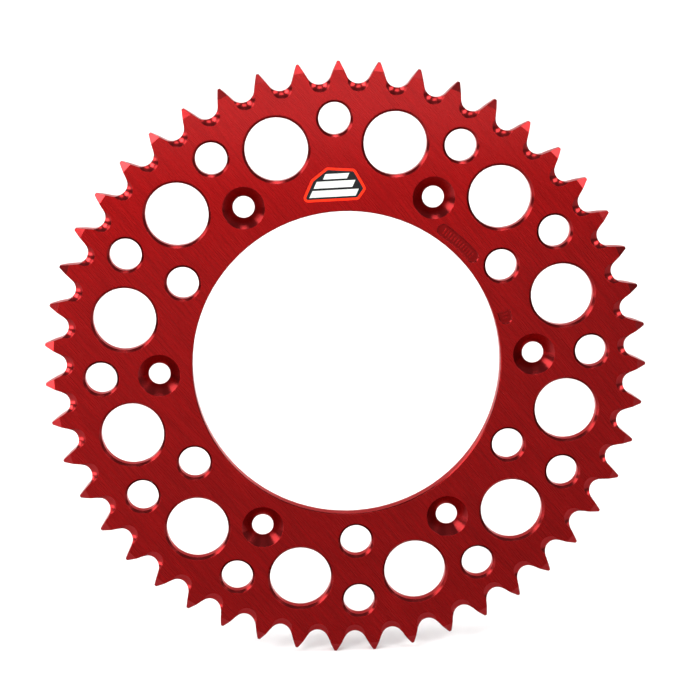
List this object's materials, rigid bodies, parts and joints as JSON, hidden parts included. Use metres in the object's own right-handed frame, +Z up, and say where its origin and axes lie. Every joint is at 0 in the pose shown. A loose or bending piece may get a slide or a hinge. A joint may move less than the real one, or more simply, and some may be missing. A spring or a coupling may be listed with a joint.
{
  "type": "motorcycle rear sprocket",
  "caption": "Flat machined aluminium rear chain sprocket with a hub bore, countersunk bolt holes, rings of lightening holes and a decal.",
  "frame": {"origin": "centre of the hub bore, in the plane of the back face that seats on the hub", "axes": "+Y along the wheel's axle, from the countersunk front face towards the hub; +Z up, through the tip of a tooth; +X to the right as the front face is seen"},
  "size_m": [0.2452, 0.0063, 0.2451],
  "materials": {
    "red_anodised_aluminium": "red anodised over a fine ground face",
    "decal_orange_film": "glossy orange-red vinyl",
    "decal_black_film": "glossy black vinyl",
    "decal_silver_foil": "satin silver foil film"
  },
  "bodies": {
    "root": {"sprocket_plate": "red_anodised_aluminium", "decal_film": "decal_orange_film", "decal_field": "decal_black_film", "decal_emblem": "decal_silver_foil"}
  },
  "joints": []
}
